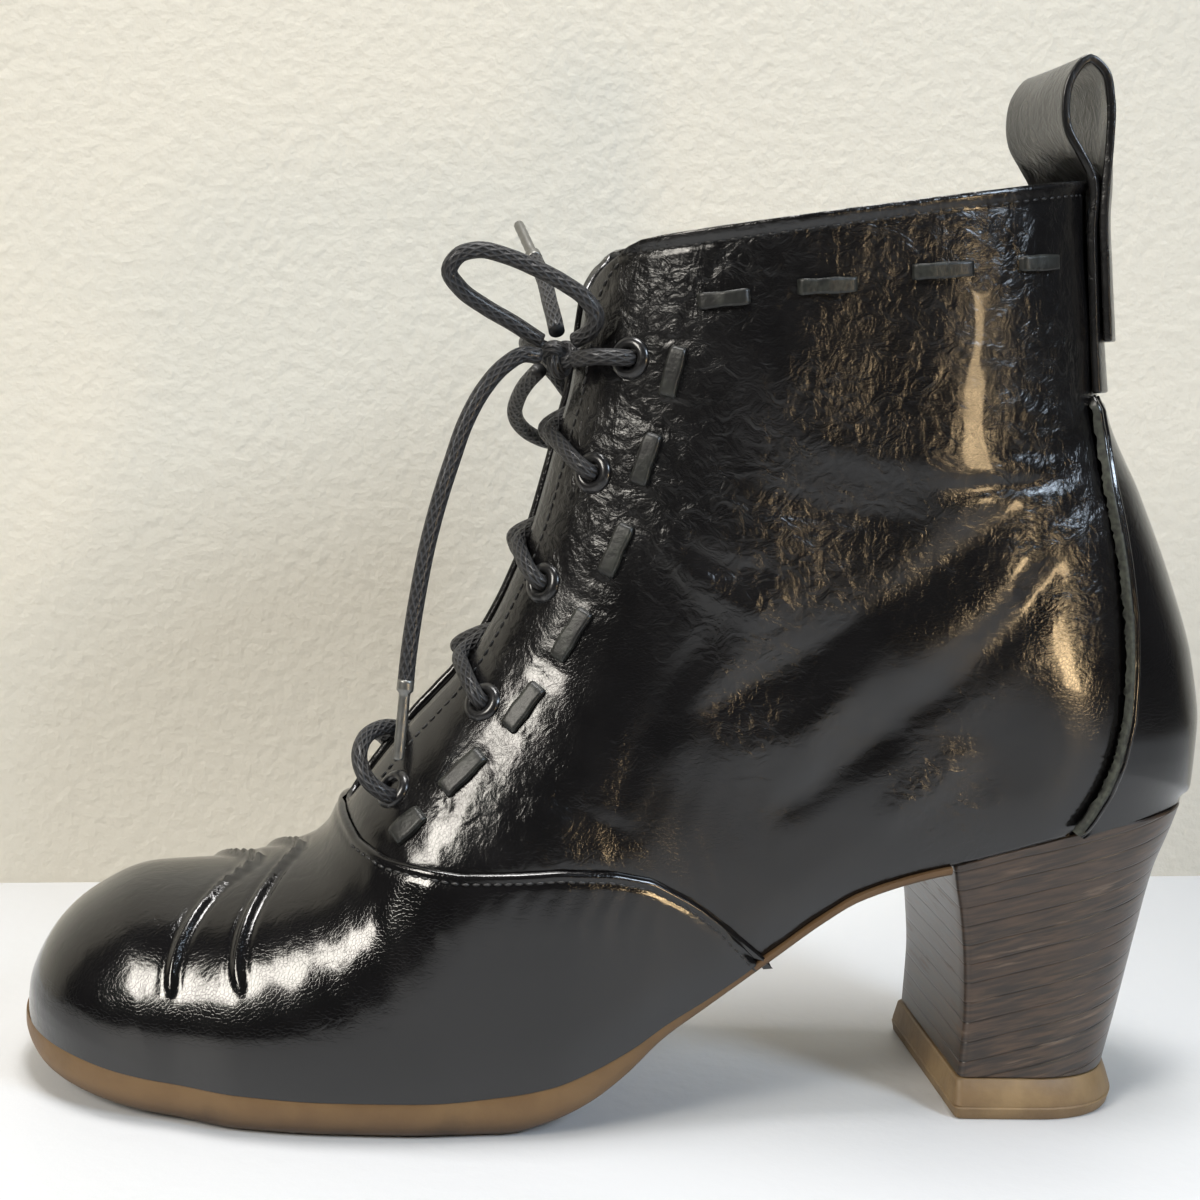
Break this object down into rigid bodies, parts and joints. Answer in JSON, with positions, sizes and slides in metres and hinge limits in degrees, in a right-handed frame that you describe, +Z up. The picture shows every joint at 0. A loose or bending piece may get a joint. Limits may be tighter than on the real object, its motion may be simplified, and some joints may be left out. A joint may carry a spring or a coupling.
{
  "type": "victorian lace up boot",
  "caption": "Left ankle boot in glossy black leather with front lacing, leather thong stitches, a tucked vamp, a back pull loop and a tall stacked block heel.",
  "frame": {"origin": "on the ground, below the centre of the boot's length and width", "axes": "+X towards the heel, -X towards the toe, +Z up, -Y to the outer (lateral) side of this left boot"},
  "size_m": [0.2649, 0.0834, 0.2312],
  "materials": {
    "outsole_rubber": "smooth tan gum rubber, darker along its lower edge",
    "stacked_heel": "dark brown polished lifts with faint slanting lines",
    "top_piece_rubber": "olive tan rubber, satin",
    "insole_leather": "plain tan leather",
    "upper_leather": "black waxed leather, glossy, with fine wrinkles",
    "vamp_leather": "black waxed leather, glossy, with stitched tucks",
    "counter_leather": "black waxed leather, smooth and glossy",
    "tongue_leather": "black leather, satin",
    "strap_leather": "black leather, glossy, with a stitched edge",
    "eyelet_black": "black lacquered metal, semi gloss",
    "thong_leather": "raw grey green cut leather, matte",
    "lace_braid": "waxed black round braid",
    "aglet_steel": "dull grey crimped metal"
  },
  "bodies": {
    "root": {"outsole": "outsole_rubber", "heel_block": "stacked_heel", "heel_top_piece": "top_piece_rubber", "insole": "insole_leather", "upper": "upper_leather", "vamp": "vamp_leather", "heel_counter": "counter_leather", "tongue": "tongue_leather", "pull_strap": "strap_leather", "eyelet_outer_1": "eyelet_black", "eyelet_outer_2": "eyelet_black", "eyelet_outer_3": "eyelet_black", "eyelet_outer_4": "eyelet_black", "eyelet_outer_5": "eyelet_black", "eyelet_inner_1": "eyelet_black", "eyelet_inner_2": "eyelet_black", "eyelet_inner_3": "eyelet_black", "eyelet_inner_4": "eyelet_black", "eyelet_inner_5": "eyelet_black", "thong_outer_01": "thong_leather", "thong_outer_02": "thong_leather", "thong_outer_03": "thong_leather", "thong_outer_04": "thong_leather", "thong_outer_05": "thong_leather", "thong_outer_06": "thong_leather", "thong_outer_07": "thong_leather", "thong_outer_08": "thong_leather", "thong_outer_09": "thong_leather", "thong_outer_10": "thong_leather", "thong_outer_11": "thong_leather", "thong_inner_01": "thong_leather", "thong_inner_02": "thong_leather", "thong_inner_03": "thong_leather", "thong_inner_04": "thong_leather", "thong_inner_05": "thong_leather", "thong_inner_06": "thong_leather", "thong_inner_07": "thong_leather", "thong_inner_08": "thong_leather", "thong_inner_09": "thong_leather", "thong_inner_10": "thong_leather", "thong_inner_11": "thong_leather", "lace_crossing_1": "lace_braid", "lace_crossing_2": "lace_braid", "lace_crossing_3": "lace_braid", "lace_crossing_4": "lace_braid", "lace_to_knot_outer": "lace_braid", "lace_to_knot_inner": "lace_braid", "lace_knot": "lace_braid", "lace_loop_outer": "lace_braid", "lace_loop_inner": "lace_braid", "lace_end_outer": "lace_braid", "lace_end_inner": "lace_braid", "aglet_outer": "aglet_steel", "aglet_inner": "aglet_steel"}
  },
  "joints": []
}
